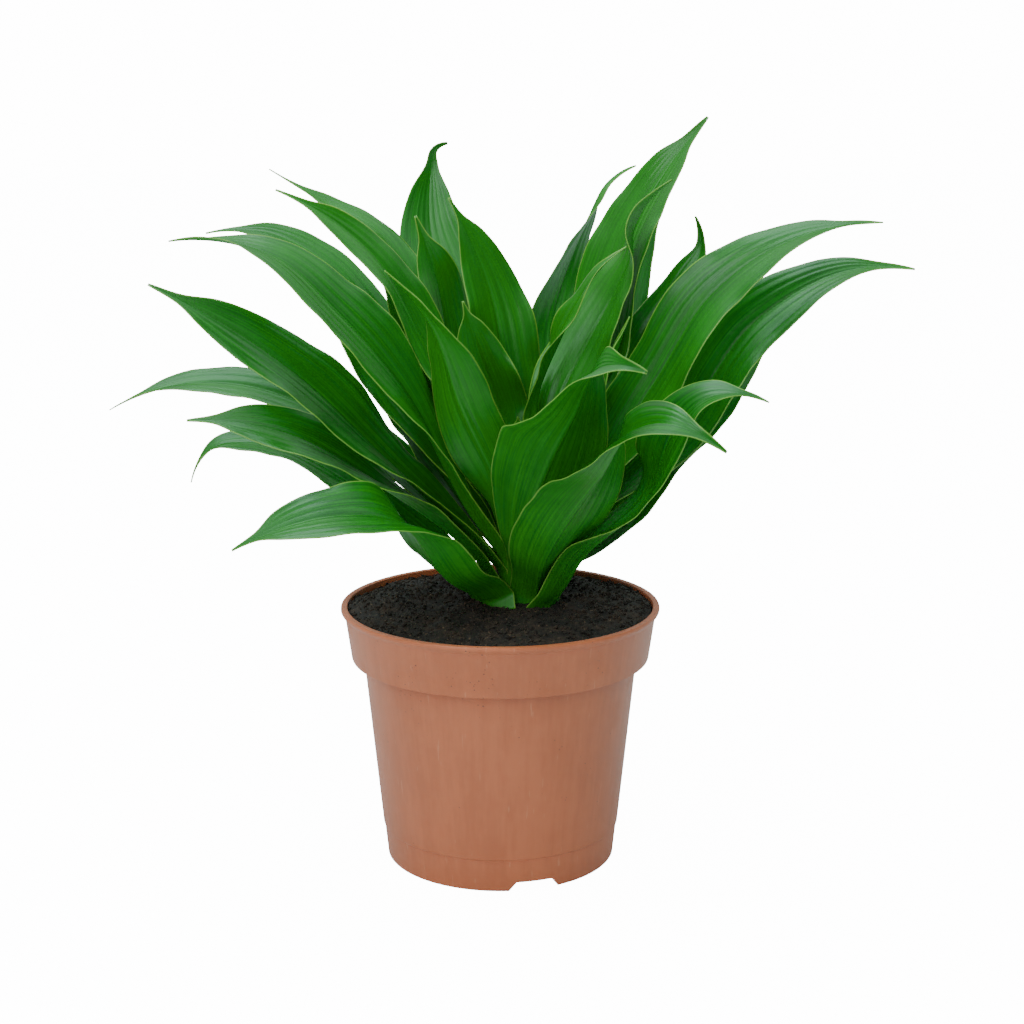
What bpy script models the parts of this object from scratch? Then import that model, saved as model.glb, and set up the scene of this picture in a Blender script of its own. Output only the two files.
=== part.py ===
"""A compact dracaena in a 13 cm plastic nursery pot: pot, soil, rooted stem and 34 leaves.

Lengths in the tables are millimetres and angles are degrees. The pot stands on z = 0 with its axis on
the z axis. Azimuth 0 points along +X, 90 along +Y (away from the front), 270 towards the front.
"""

import math
from collections import namedtuple

import bmesh
import bpy
import numpy as np
from mathutils import Matrix, Vector, noise

MM = 0.001
CLEARANCE = 0.3

# Pot
RIM_RADIUS = 65.0
POT_HEIGHT = 106.0
WALL = 1.2
BAND_TOP_RADIUS = 63.4
BAND_TOP = 102.6
BAND_FOOT_RADIUS = 60.9
BAND_FOOT = 84.4
BODY_RADIUS_AT_0 = 47.46
BODY_TAPER = 0.0991
STEP_HEIGHT = 14.0
STEP_DEPTH = 0.45
FLOOR_UNDERSIDE = 4.6
FLOOR_TOP = 5.8
FOOT_WIDTH = 2.0
POT_SIDES = 64
NOTCH_COUNT = 3
NOTCH_AZIMUTH = -73.0
NOTCH_WIDTH_FOOT = 20.0
NOTCH_WIDTH_TOP = 15.0
NOTCH_HEIGHT = 3.8
DRAIN_COUNT = 8
DRAIN_RADIUS = 4.0
DRAIN_CIRCLE = 30.0

# Soil
SOIL_EDGE = 102.5
SOIL_CROWN = 109.0
SOIL_LUMP = 1.1
SOIL_SIDES = 48
SOIL_RINGS = (57.0, 50.0, 42.0, 33.0, 24.0, 16.0)

# Stem and roots
STEM_X = 9.0
STEM_Y = 2.0
STEM_BOTTOM = 62.0
STEM_TOP = 158.0
STEM_RADIUS = 9.0
STEM_TOP_RADIUS = 4.9
TAPER_START = 108.0
TAPER_LENGTH = 56.0
TAPER_LOSS = 4.5
STEM_SIDES = 16
ROOT_COUNT = 6
ROOT_LENGTH = 40.0
ROOT_RADIUS = 2.2
ROOT_TIP_RADIUS = 0.8
ROOT_DROP = 38.0

# Leaves
LEAF_THICKNESS = 0.7
LEAF_STATIONS = 16
LEAF_ACROSS = 4
LEAF_GAP = 1.3
BASE_SHARE = 0.34
FULL_WIDTH_AT = 0.42
WAVE_HEIGHT = 1.6
WAVE_COUNT = 3.0
HALF_WIDTH = ((0.0, 1.0), (0.3, 1.0), (0.52, 1.0), (0.7, 0.82), (0.86, 0.42), (0.93, 0.13), (1.0, 0.03))
WRAP_END = 0.35
FLAT_CURL = -12.0
TIP_CURL = -5.0

# azimuth, height and rise are where a leaf leaves the stem and how steeply. width is its full width.
# turn is its roll about its own midrib at a third, two thirds and the tip. spine is the midrib's way
# to the tip. base is the share of the width at the stem, and fold the V of the blade, mid and tip.
# root is where an outer leaf comes out of the soil, where that isn't against the stem.
Leaf = namedtuple("Leaf", "azimuth height rise width turn spine base fold root",
                  defaults=(BASE_SHARE, (22, 18), None))

LEAVES = {
    "leaf_left_1": Leaf(165, 110.5, 42, 24, (-10, -20, -10),
                        ((-16, 2, 122), (-58, 11, 151), (-103, 18, 169), (-118, 18, 167), (-127, 15, 153))),
    "leaf_left_2": Leaf(190, 114, 46, 31, (5, -35, -60),
                        ((-13, -6, 130), (-49, -14, 159), (-83, -20, 180), (-122, -20, 185))),
    "leaf_left_3": Leaf(148, 117, 52, 24, (-20, -20, 15),
                        ((-13, 14, 129), (-48, 23, 163), (-83, 29, 184), (-108, 31, 191), (-134, 31, 191),
                         (-162, 28, 181))),
    "leaf_left_4": Leaf(193, 120, 52, 33, (-20, -50, -70),
                        ((-12, -6, 135), (-44, -13, 167), (-82, -18, 205), (-135, -20, 238))),
    "leaf_left_5": Leaf(156, 123.5, 56, 25, (-5, -15, -30),
                        ((-10, 11, 136), (-29, 19, 162), (-45, 25, 186), (-54, 29, 198))),
    "leaf_left_6": Leaf(213, 124.5, 62, 33, (-40, -62, -5),
                        ((-11, -11, 145), (-40, -23, 201), (-62, -28, 228), (-83, -30, 248), (-125, -28, 255))),
    "leaf_left_7": Leaf(159, 127.3, 62, 29, (-25, -36, -15),
                        ((-11, 8, 147), (-46, 16, 201), (-75, 24, 243), (-97, 26, 254), (-119, 24, 254)),
                        fold=(12, 12)),
    "leaf_left_8": Leaf(229, 129.5, 61, 26, (50, 2, -46),
                        ((1, -14, 152), (-15, -26, 192), (-27, -34, 226), (-43, -38, 245))),
    "leaf_left_9": Leaf(170, 130.5, 63, 19, (-45, -55, -60),
                        ((-6, 5, 149), (-22, 7, 180), (-35, 8, 212), (-49, 10, 241))),
    "leaf_left_10": Leaf(180, 141, 70, 23, (-30, -38, -52),
                         ((-5, 1, 158), (-30, 1, 213), (-47, -1, 244), (-87, -4, 273))),
    "leaf_left_11": Leaf(123, 145.5, 72, 20, (-11, 14, 22),
                         ((-6, 24, 163), (-31, 42, 212), (-50, 52, 251), (-77, 57, 266), (-97, 59, 278))),
    "leaf_left_12": Leaf(145, 149, 74, 36, (-14, -6, -55),
                         ((-1, 20, 166), (-19, 33, 197), (-27, 40, 235), (-35, 40, 260))),
    "leaf_left_13": Leaf(150, 157, 84, 26, (-60, -62, -40),
                         ((1, 15, 177), (-9, 13, 208), (-15, 12, 228))),
    "leaf_front_1": Leaf(238, 109.4, 40, 33, (-5, -48, -45),
                         ((-20, -32, 124), (-38, -51, 151), (-59, -66, 157), (-98, -74, 146)),
                         base=0.85, root=(-7, -10)),
    "leaf_front_2": Leaf(326, 109.2, 38, 33, (15, 60, 27),
                         ((33, -22, 131), (58, -38, 159), (66, -48, 186), (76, -54, 199),
                          (100, -56, 198)), base=0.6, root=(20, -12)),
    "leaf_front_3": Leaf(292, 110.5, 56, 37, (-12, 38, 52),
                         ((17, -32, 131), (37, -68, 172), (49, -90, 194), (60, -103, 198),
                          (79, -107, 189)), base=0.62, root=(14, -8.5)),
    "leaf_front_4": Leaf(275, 119, 64, 43, (-20, 22, 95),
                         ((9, -22, 135), (17, -50, 169), (27, -76, 196), (37, -94, 217),
                          (51, -108, 217)), base=0.36),
    "leaf_right_1": Leaf(30, 112.6, 46, 27, (18, 18, 38),
                         ((40, 9, 128), (62, 16, 155), (90, 21, 185), (113, 25, 214))),
    "leaf_right_2": Leaf(6, 117.5, 53, 33, (35, 46, 28),
                         ((34, 0, 139), (74, 1, 181), (102, 2, 221), (141, 0, 242), (163, -2, 242))),
    "leaf_right_3": Leaf(346, 125, 60, 31, (60, 55, 25),
                         ((31, -8, 148), (61, -17, 200), (84, -23, 237), (112, -27, 256), (145, -27, 262))),
    "leaf_right_4": Leaf(34, 130, 66, 31, (10, 24, 20),
                         ((31, 15, 148), (57, 28, 196), (77, 36, 234), (83, 38, 248), (80, 37, 260))),
    "leaf_right_5": Leaf(66, 125, 60, 21, (10, 0, 14),
                         ((36, 33, 150), (50, 49, 201), (60, 62, 238), (70, 68, 265))),
    "leaf_right_6": Leaf(325, 138, 70, 22, (30, 40, 30),
                         ((25, -15, 164), (38, -21, 193), (45, -23, 213), (50, -23, 226))),
    "leaf_right_7": Leaf(24, 145.5, 65, 42, (16, 8, 45),
                         ((26, 7, 168), (41, 20, 208), (57, 30, 260), (84, 34, 300))),
    "leaf_right_8": Leaf(355, 150, 78, 31, (60, 32, -40),
                         ((24, 3, 189), (35, 8, 211), (45, 10, 229), (52, 9, 245), (53, 9, 257),
                          (59, 9, 268), (68, 9, 276))),
    "leaf_right_9": Leaf(320, 156, 76, 16, (20, 50, 60),
                         ((15, -6, 194), (22, -11, 213), (30, -15, 230), (39, -16, 244), (49, -15, 252))),
    "leaf_back_1": Leaf(80, 110.4, 43, 32, (0, 0, 0),
                        ((25, 30, 123), (39, 66, 141), (50, 90, 157), (58, 107, 161))),
    "leaf_back_2": Leaf(112, 114, 46, 32, (0, 0, 0),
                        ((2, 33, 124), (-14, 66, 148), (-27, 90, 166), (-35, 107, 170))),
    "leaf_back_3": Leaf(64, 120, 48, 32, (0, 0, 0),
                        ((38, 32, 129), (62, 60, 162), (84, 84, 183), (96, 98, 191))),
    "leaf_back_4": Leaf(124, 120.5, 52, 30, (0, 0, 0),
                        ((-6, 30, 134), (-26, 62, 167), (-41, 86, 187), (-50, 100, 194))),
    "leaf_back_5": Leaf(108, 132.6, 64, 43, (0, -8, 0),
                        ((0, 30, 151), (-16, 60, 211), (-31, 80, 256), (-30, 86, 279), (-29, 86, 285),
                         (-23, 85, 288))),
    "leaf_back_6": Leaf(82, 139, 68, 27, (0, 55, 150),
                        ((21, 37, 158), (24, 76, 219), (38, 90, 255), (48, 94, 272), (59, 94, 278))),
    "leaf_back_7": Leaf(104, 153, 81, 31, (4, 10, 25),
                        ((9, 21, 170), (3, 25, 194), (-5, 28, 232), (-21, 28, 268))),
    "leaf_spear": Leaf(270, 160.5, 88, 9, (0, 0, 0),
                       ((8, -4, 174), (7, -5, 184))),
}


def clear_scene():
    for old in list(bpy.data.objects):
        bpy.data.objects.remove(old, do_unlink=True)


def material(name, colour, roughness):
    made = bpy.data.materials.new(name)
    made.use_nodes = True
    shader = made.node_tree.nodes["Principled BSDF"]
    shader.inputs["Base Color"].default_value = (*colour, 1)
    shader.inputs["Roughness"].default_value = roughness
    shader.inputs["Metallic"].default_value = 0
    return made


def add_object(name, bm, surface):
    """Turn a bmesh in millimetres into a smooth-shaded object in metres."""
    bmesh.ops.scale(bm, vec=(MM, MM, MM), verts=bm.verts)
    mesh = bpy.data.meshes.new(name)
    bm.to_mesh(mesh)
    bm.free()
    mesh.materials.append(surface)
    mesh.shade_smooth()
    mesh.set_sharp_from_angle(angle=math.radians(35))
    made = bpy.data.objects.new(name, mesh)
    bpy.context.collection.objects.link(made)
    return made


def turned(profile, sides, centre=(0, 0)):
    """Spin a profile of (radius, height) points, which ends on the axis, into a closed body."""
    bm = bmesh.new()
    verts = [bm.verts.new((radius, 0, height)) for radius, height in profile]
    edges = [bm.edges.new(pair) for pair in zip(verts, verts[1:])]
    bmesh.ops.spin(bm, geom=verts + edges, cent=(0, 0, 0), axis=(0, 0, 1), angle=math.tau,
                   steps=sides, use_merge=True)
    bmesh.ops.remove_doubles(bm, verts=bm.verts, dist=0.001)
    bmesh.ops.recalc_face_normals(bm, faces=bm.faces)
    bmesh.ops.translate(bm, verts=bm.verts, vec=(*centre, 0))
    return bm


def helper(name, bm):
    """A cutter or a shape to join, left out of the part."""
    made = add_object(name, bm, material(name, (1, 0, 0), 0.5))
    made.hide_render = True
    made.display_type = "WIRE"
    return made


def boolean(target, other, operation):
    """Apply one exact Boolean and remove the other shape."""
    cut = target.modifiers.new(operation.title(), "BOOLEAN")
    cut.operation = operation
    cut.object = other
    with bpy.context.temp_override(object=target, active_object=target):
        bpy.ops.object.modifier_apply(modifier=cut.name)
    bpy.data.objects.remove(other, do_unlink=True)


def body_radius(height):
    return BODY_RADIUS_AT_0 + BODY_TAPER * height


def build_pot():
    """Moulded pot: foot ring, tapered body, stepped band under a flared lip, raised floor with drain holes."""
    foot = body_radius(0) - STEP_DEPTH
    shelf = BAND_FOOT + WALL
    profile = (
        (0, FLOOR_UNDERSIDE),
        (foot - FOOT_WIDTH - 0.3, FLOOR_UNDERSIDE),
        (foot - FOOT_WIDTH, 0),
        (foot, 0),
        (body_radius(STEP_HEIGHT) - STEP_DEPTH, STEP_HEIGHT - STEP_DEPTH),
        (body_radius(STEP_HEIGHT), STEP_HEIGHT),
        (body_radius(BAND_FOOT), BAND_FOOT - 0.6),
        (body_radius(BAND_FOOT) + 0.6, BAND_FOOT),
        (BAND_FOOT_RADIUS - 0.6, BAND_FOOT),
        (BAND_FOOT_RADIUS, BAND_FOOT + 0.6),
        (BAND_TOP_RADIUS, BAND_TOP),
        (RIM_RADIUS, BAND_TOP + 1.6),
        (RIM_RADIUS, POT_HEIGHT - 0.5),
        (RIM_RADIUS - 0.5, POT_HEIGHT),
        (RIM_RADIUS - 2.3, POT_HEIGHT),
        (RIM_RADIUS - 2.8, POT_HEIGHT - 0.7),
        (BAND_TOP_RADIUS - WALL, BAND_TOP - 0.5),
        (BAND_FOOT_RADIUS - WALL, shelf + 0.8),
        (body_radius(BAND_FOOT) - WALL, shelf),
        (body_radius(FLOOR_TOP) - WALL, FLOOR_TOP + 0.8),
        (body_radius(FLOOR_TOP) - WALL - 0.8, FLOOR_TOP),
        (0, FLOOR_TOP),
    )
    bm = turned(profile, POT_SIDES)
    pot = add_object("pot", bm, material("terracotta plastic", (0.46, 0.17, 0.085), 0.45))
    for index in range(DRAIN_COUNT):
        angle = math.tau * index / DRAIN_COUNT
        bm = bmesh.new()
        place = Matrix.Translation((DRAIN_CIRCLE * math.cos(angle), DRAIN_CIRCLE * math.sin(angle), FLOOR_TOP))
        bmesh.ops.create_cone(bm, cap_ends=True, segments=12, radius1=DRAIN_RADIUS, radius2=DRAIN_RADIUS,
                              depth=6, matrix=place)
        boolean(pot, helper("drain_cutter", bm), "DIFFERENCE")
    for index in range(NOTCH_COUNT):
        boolean(pot, notch_cutter(NOTCH_AZIMUTH + 360 * index / NOTCH_COUNT), "DIFFERENCE")
    return pot


def notch_cutter(azimuth):
    """A wedge with slanted sides that cuts one drain notch through the foot ring."""
    bm = bmesh.new()
    bmesh.ops.create_cube(bm, size=1)
    for vert in bm.verts:
        top = vert.co.z > 0
        width = NOTCH_WIDTH_TOP if top else NOTCH_WIDTH_FOOT + 2
        vert.co = Vector((
            body_radius(0) + 6 * vert.co.x - 1,
            width * vert.co.y,
            NOTCH_HEIGHT if top else -1,
        ))
    bmesh.ops.rotate(bm, verts=bm.verts, matrix=Matrix.Rotation(math.radians(azimuth), 3, "Z"))
    return helper("notch_cutter", bm)


def stem_radius(height):
    share = min(max((height - TAPER_START) / TAPER_LENGTH, 0), 1)
    return STEM_RADIUS - TAPER_LOSS * share


def stem_and_roots(name, extra, surface):
    """The cane with its roots as one body. With extra it is the cutter for the hole in the soil."""
    heights = (STEM_BOTTOM + 4, TAPER_START, 118, 128, 138, 148)
    profile = [(0, STEM_BOTTOM - extra), (STEM_RADIUS - 2 + extra, STEM_BOTTOM - extra)]
    profile += [(stem_radius(height) + extra, height) for height in heights]
    profile += [(STEM_TOP_RADIUS + extra, STEM_TOP - 2), (STEM_TOP_RADIUS - 2 + extra, STEM_TOP + extra),
                (0, STEM_TOP + extra)]
    bm = turned(profile, STEM_SIDES, (STEM_X, STEM_Y))
    stem = add_object(name, bm, surface)
    for index in range(ROOT_COUNT):
        bm = bmesh.new()
        length = ROOT_LENGTH + 2 * extra
        bmesh.ops.create_cone(bm, cap_ends=True, segments=8, radius1=ROOT_RADIUS + extra,
                              radius2=ROOT_TIP_RADIUS + extra, depth=length,
                              matrix=Matrix.Translation((0, 0, length / 2 - extra)))
        drop = ROOT_DROP + 9 * (index % 3)
        aim = Matrix.Rotation(math.tau * (index + 0.25) / ROOT_COUNT, 3, "Z")
        aim = aim @ Matrix.Rotation(math.radians(90 + drop), 3, "Y")
        bmesh.ops.rotate(bm, verts=bm.verts, matrix=aim)
        bmesh.ops.translate(bm, verts=bm.verts, vec=(STEM_X, STEM_Y, STEM_BOTTOM + 5 + 4 * (index % 2)))
        boolean(stem, helper("root", bm), "UNION")
    return stem


def soil_top(x, y):
    """Height of the crumbly mound: lowest at the pot's wall, highest round the stem."""
    share = min(math.hypot(x, y) / BAND_TOP_RADIUS, 1)
    lump = noise.noise(Vector((x, y, 7)) / 11) + 0.5 * noise.noise(Vector((x, y, 3)) / 5)
    near_stem = min(math.hypot(x - STEM_X, y - STEM_Y) / 22, 1)
    return SOIL_CROWN - (SOIL_CROWN - SOIL_EDGE) * share ** 3 + SOIL_LUMP * lump * near_stem - 0.6


def build_soil():
    """Peat filling the pot, mounded on top, with a plain hole for the stem and its roots."""
    shelf = BAND_FOOT + WALL
    edge = BAND_TOP_RADIUS - WALL - CLEARANCE - 0.1
    profile = [
        (0, FLOOR_TOP + CLEARANCE),
        (body_radius(FLOOR_TOP) - WALL - 1.2, FLOOR_TOP + CLEARANCE),
        (body_radius(FLOOR_TOP) - WALL - CLEARANCE, FLOOR_TOP + 1.3),
        (body_radius(BAND_FOOT) - WALL - CLEARANCE - 0.05, shelf + 0.2),
        (BAND_FOOT_RADIUS - WALL - CLEARANCE - 0.1, shelf + 1.3),
        (edge - 0.2, SOIL_EDGE - 2),
    ]
    profile += [(radius, SOIL_CROWN) for radius in SOIL_RINGS]
    profile.append((0, SOIL_CROWN))
    bm = turned(profile, SOIL_SIDES)
    for vert in bm.verts:
        if vert.co.z > SOIL_CROWN - 0.01:
            vert.co.z = soil_top(vert.co.x, vert.co.y)
    soil = add_object("soil", bm, material("peat", (0.035, 0.022, 0.015), 0.95))
    hole = stem_and_roots("hole_cutter", CLEARANCE + 0.1, soil.data.materials[0])
    hole.hide_render = True
    boolean(soil, hole, "DIFFERENCE")
    return soil


def unit(vector):
    return vector / np.linalg.norm(vector)


def smooth(x, knots):
    """Cubic curve through the knots that doesn't overshoot them."""
    places = np.array([knot[0] for knot in knots], float)
    values = np.array([knot[1] for knot in knots], float)
    steps = np.diff(values) / np.diff(places)
    slopes = np.concatenate([steps[:1], np.zeros(len(knots) - 2), steps[-1:]])
    for i in range(1, len(knots) - 1):
        if steps[i - 1] * steps[i] > 0:
            slopes[i] = 2 * steps[i - 1] * steps[i] / (steps[i - 1] + steps[i])
    i = np.clip(np.searchsorted(places, x, side="right") - 1, 0, len(knots) - 2)
    span = places[i + 1] - places[i]
    t = (x - places[i]) / span
    return ((2 * t**3 - 3 * t**2 + 1) * values[i] + (t**3 - 2 * t**2 + t) * span * slopes[i]
            + (3 * t**2 - 2 * t**3) * values[i + 1] + (t**3 - t**2) * span * slopes[i + 1])


def foot(leaf):
    """Where a leaf starts, seen from above, and how far that is from the stem's axis."""
    out = stem_radius(leaf.height) + LEAF_GAP
    if leaf.root:
        return leaf.root, math.hypot(leaf.root[0] - STEM_X, leaf.root[1] - STEM_Y)
    azimuth = math.radians(leaf.azimuth)
    return (STEM_X + out * math.cos(azimuth), STEM_Y + out * math.sin(azimuth)), out


def midrib(leaf, stations):
    """Points at equal steps along a smooth curve from the stem through the leaf's spine points."""
    azimuth, rise = math.radians(leaf.azimuth), math.radians(leaf.rise)
    points = np.array([(*foot(leaf)[0], leaf.height), *leaf.spine], float)
    legs = np.diff(points, axis=0)
    lengths = np.linalg.norm(legs, axis=1)
    ways = legs / lengths[:, None]
    tangents = [np.array([math.cos(azimuth) * math.cos(rise), math.sin(azimuth) * math.cos(rise), math.sin(rise)])]
    for i in range(1, len(points) - 1):
        tangents.append(unit(ways[i - 1] * lengths[i] + ways[i] * lengths[i - 1]))
    tangents.append(unit(2 * ways[-1] - tangents[-1]))
    fine = []
    for i, length in enumerate(lengths):
        last = i == len(lengths) - 1
        t = np.linspace(0, 1, 24, endpoint=last)[:, None]
        near = points[i] + tangents[i] * length / 3
        far = points[i + 1] - tangents[i + 1] * length / 3
        fine.append((1 - t)**3 * points[i] + 3 * (1 - t)**2 * t * near + 3 * (1 - t) * t**2 * far
                    + t**3 * points[i + 1])
    fine = np.concatenate(fine)
    along = np.concatenate([[0], np.cumsum(np.linalg.norm(np.diff(fine, axis=0), axis=1))])
    wanted = np.linspace(0, along[-1], stations)
    return np.stack([np.interp(wanted, along, fine[:, axis]) for axis in range(3)], 1)


def blade(leaf, stations, across):
    """Surface points of a leaf, stations by across + 1: rolled, folded, clasping the stem, waved edges."""
    curve = midrib(leaf, stations)
    along = np.gradient(curve, axis=0)
    along /= np.linalg.norm(along, axis=1)[:, None]
    azimuth = math.radians(leaf.azimuth)
    side = [np.array([-math.sin(azimuth), math.cos(azimuth), 0])]
    for way in along:
        side.append(unit(side[-1] - way * np.dot(side[-1], way)))
    side = np.array(side[1:])
    up = np.cross(along, side)
    s = np.linspace(0, 1, stations)[:, None]
    roll = np.radians(smooth(s, ((0, 0), (1 / 3, leaf.turn[0]), (2 / 3, leaf.turn[1]), (1, leaf.turn[2]))))
    side, up = side * np.cos(roll) + up * np.sin(roll), up * np.cos(roll) - side * np.sin(roll)
    ease = np.clip(s / FULL_WIDTH_AT, 0, 1)
    ease = leaf.base + (1 - leaf.base) * ease * ease * (3 - 2 * ease)
    half = leaf.width / 2 * smooth(s, HALF_WIDTH) * ease
    fold = np.radians(smooth(s, ((0, 6), (0.1, 20), (0.3, leaf.fold[0]), (1, leaf.fold[1]))))
    clasp = math.degrees(half[0, 0] / foot(leaf)[1])
    curl = np.radians(smooth(s, ((0, clasp), (0.1, 0.6 * clasp), (WRAP_END, FLAT_CURL), (1, TIP_CURL))))
    curl = np.where(np.abs(curl) < 0.001, 0.001, curl)
    u = np.linspace(-1, 1, across + 1)[None]
    flat = half * (np.sin(fold + curl * np.abs(u)) - np.sin(fold)) / curl * np.sign(u)
    lift = half * (np.cos(fold) - np.cos(fold + curl * np.abs(u))) / curl
    fade = np.clip(np.sin(np.pi * s), 0, 1)**0.7 * np.clip((s - 0.12) / 0.2, 0, 1)
    wave = np.sin(math.tau * (WAVE_COUNT * s + 0.37 * np.sign(u)))
    lift = lift + WAVE_HEIGHT * fade * wave * np.abs(u)**2.5
    return curve[:, None] + side[:, None] * flat[..., None] + up[:, None] * lift[..., None]


def build_leaf(name, leaf):
    points = blade(leaf, LEAF_STATIONS, LEAF_ACROSS)
    bm = bmesh.new()
    bmesh.ops.create_grid(bm, x_segments=LEAF_ACROSS, y_segments=LEAF_STATIONS - 1, size=1)
    for vert in bm.verts:
        column = round((vert.co.x + 1) / 2 * LEAF_ACROSS)
        row = round((vert.co.y + 1) / 2 * (LEAF_STATIONS - 1))
        vert.co = points[row, column]
    bmesh.ops.triangulate(bm, faces=bm.faces, quad_method="FIXED")
    youth = (leaf.height - TAPER_START) / TAPER_LENGTH
    green = material(name, (0.03 + 0.03 * youth, 0.16 + 0.08 * youth, 0.02), 0.35)
    made = add_object(name, bm, green)
    thick = made.modifiers.new("Thickness", "SOLIDIFY")
    thick.thickness = LEAF_THICKNESS * MM
    thick.offset = 0
    return made


clear_scene()
build_pot()
build_soil()
stem_and_roots("stem_with_roots", 0, material("green cane", (0.10, 0.16, 0.04), 0.6))
for leaf_name, leaf_row in LEAVES.items():
    build_leaf(leaf_name, leaf_row)
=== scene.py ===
"""A compact dracaena in a 13 cm terracotta-coloured nursery pot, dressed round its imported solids.

Lengths are metres except in the tables that say millimetres. Azimuth 0 points along +X, 90 along +Y
(away from the camera) and 270 towards the camera.
"""

import math
import random
from collections import namedtuple

import bmesh
import bpy
import numpy as np
from mathutils import Matrix, Vector, noise


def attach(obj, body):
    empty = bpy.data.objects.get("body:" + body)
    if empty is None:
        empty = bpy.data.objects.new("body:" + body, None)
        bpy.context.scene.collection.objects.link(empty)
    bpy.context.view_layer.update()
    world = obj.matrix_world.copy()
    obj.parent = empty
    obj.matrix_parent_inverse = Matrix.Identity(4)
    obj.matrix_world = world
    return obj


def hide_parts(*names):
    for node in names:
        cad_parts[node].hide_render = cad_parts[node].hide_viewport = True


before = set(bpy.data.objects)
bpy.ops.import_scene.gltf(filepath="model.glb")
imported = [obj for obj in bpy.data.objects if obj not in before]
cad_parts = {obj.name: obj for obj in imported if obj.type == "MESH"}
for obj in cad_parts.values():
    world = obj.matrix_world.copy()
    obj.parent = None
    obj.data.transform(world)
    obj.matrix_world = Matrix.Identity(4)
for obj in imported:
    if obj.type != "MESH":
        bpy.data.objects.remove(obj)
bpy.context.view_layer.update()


# Camera. It stands in front of the plant at about rim-and-a-half height and looks slightly down,
# with the field of view that the ellipses of the pot's rim, band and base give.

CAMERA_AT = (0.0048, -0.767, 0.3155)
CAMERA_PITCH_DOWN = 0.22
CAMERA_LENS_MM = 68.3

camera_data = bpy.data.cameras.new("camera")
camera_data.lens = CAMERA_LENS_MM
camera_data.sensor_width = 36
camera = bpy.data.objects.new("camera", camera_data)
camera.location = CAMERA_AT
camera.rotation_euler = (math.pi / 2 - CAMERA_PITCH_DOWN, 0, 0)
bpy.context.scene.collection.objects.link(camera)
bpy.context.scene.camera = camera


# Pot. One injection moulding in terracotta-coloured polypropylene: a flared lip, a stepped band,
# a tapered body with a faint step line and a foot ring with drain notches. The wall is 1.2 mm.

MM = 0.001
RIM_RADIUS = 65.0
POT_HEIGHT = 106.0
WALL = 1.2
BAND_TOP_RADIUS = 63.4
BAND_TOP = 102.6
BAND_FOOT_RADIUS = 60.9
BAND_FOOT = 84.4
BODY_RADIUS_AT_0 = 47.46
BODY_TAPER = 0.0991
STEP_HEIGHT = 14.0
STEP_DEPTH = 0.45
FLOOR_UNDERSIDE = 4.6
FLOOR_TOP = 5.8
FOOT_WIDTH = 2.0
POT_SIDES = 160
NOTCH_COUNT = 3
NOTCH_AZIMUTH = -73.0
NOTCH_WIDTH_FOOT = 20.0
NOTCH_WIDTH_TOP = 15.0
NOTCH_HEIGHT = 3.8
DRAIN_COUNT = 8
DRAIN_RADIUS = 4.0
DRAIN_CIRCLE = 30.0
TERRACOTTA_LIGHT = (0.46, 0.125, 0.05, 1)
TERRACOTTA_DARK = (0.40, 0.105, 0.04, 1)
SCUFF_COLOUR = (0.55, 0.22, 0.12, 1)
SOIL_STAIN = (0.10, 0.045, 0.025, 1)


class Wire:
    """The output of a shader node. Arithmetic on it adds Math nodes to the same material."""

    def __init__(self, tree, socket=None):
        self.tree = tree
        self.socket = socket

    def add(self, kind, settings=None, sockets=None, out=0):
        """Add any node: its settings are set first, then its sockets take values or links."""
        node = self.tree.nodes.new("ShaderNode" + kind)
        for key, value in (settings or {}).items():
            if key == "stops":
                stops = node.color_ramp.elements
                while len(stops) < len(value):
                    stops.new(1)
                for stop, (position, colour) in zip(stops, value):
                    stop.position = position
                    stop.color = colour
            else:
                setattr(node, key, value)
        for key, value in (sockets or {}).items():
            if isinstance(value, Wire):
                self.tree.links.new(value.socket, node.inputs[key])
            else:
                node.inputs[key].default_value = value
        return Wire(self.tree, node.outputs[out])

    def math(self, operation, *values):
        return self.add("Math", {"operation": operation}, dict(enumerate(values)))

    def __abs__(self):
        return self.math("ABSOLUTE", self)

    def at_most(self, most):
        return self.math("MINIMUM", self, most)

    def __add__(self, other):
        return self.math("ADD", self, other)

    def __sub__(self, other):
        return self.math("SUBTRACT", self, other)

    def __rsub__(self, other):
        return self.math("SUBTRACT", other, self)

    def __mul__(self, other):
        return self.math("MULTIPLY", self, other)

    def __truediv__(self, other):
        return self.math("DIVIDE", self, other)

    __radd__ = __add__
    __rmul__ = __mul__

    def step(self, low, high):
        """0 below low, 1 above high and smooth between. With low above high it runs the other way."""
        turned_over = low > high
        ends = {"Value": self, "From Min": min(low, high), "From Max": max(low, high)}
        smooth = self.add("MapRange", {"interpolation_type": "SMOOTHSTEP"}, ends)
        return 1 - smooth if turned_over else smooth

    def mix(self, first, second):
        """A colour between two, with this wire as the factor."""
        return self.add("Mix", {"data_type": "RGBA"}, {0: self, 6: first, 7: second}, out=2)

    def noise(self, place, scale, detail=2.0, rough=0.5):
        ends = {"Vector": place, "Scale": scale, "Detail": detail, "Roughness": rough}
        return self.add("TexNoise", None, ends)


def new_finish(name):
    """An empty node material and a wire to start its nodes from."""
    finish = bpy.data.materials.new(name)
    finish.use_nodes = True
    finish.node_tree.nodes.clear()
    return finish, Wire(finish.node_tree)


def surface(start, shader):
    """Send a shader to the material's output."""
    out = start.tree.nodes.new("ShaderNodeOutputMaterial")
    start.tree.links.new(shader.socket, out.inputs["Surface"])


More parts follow.
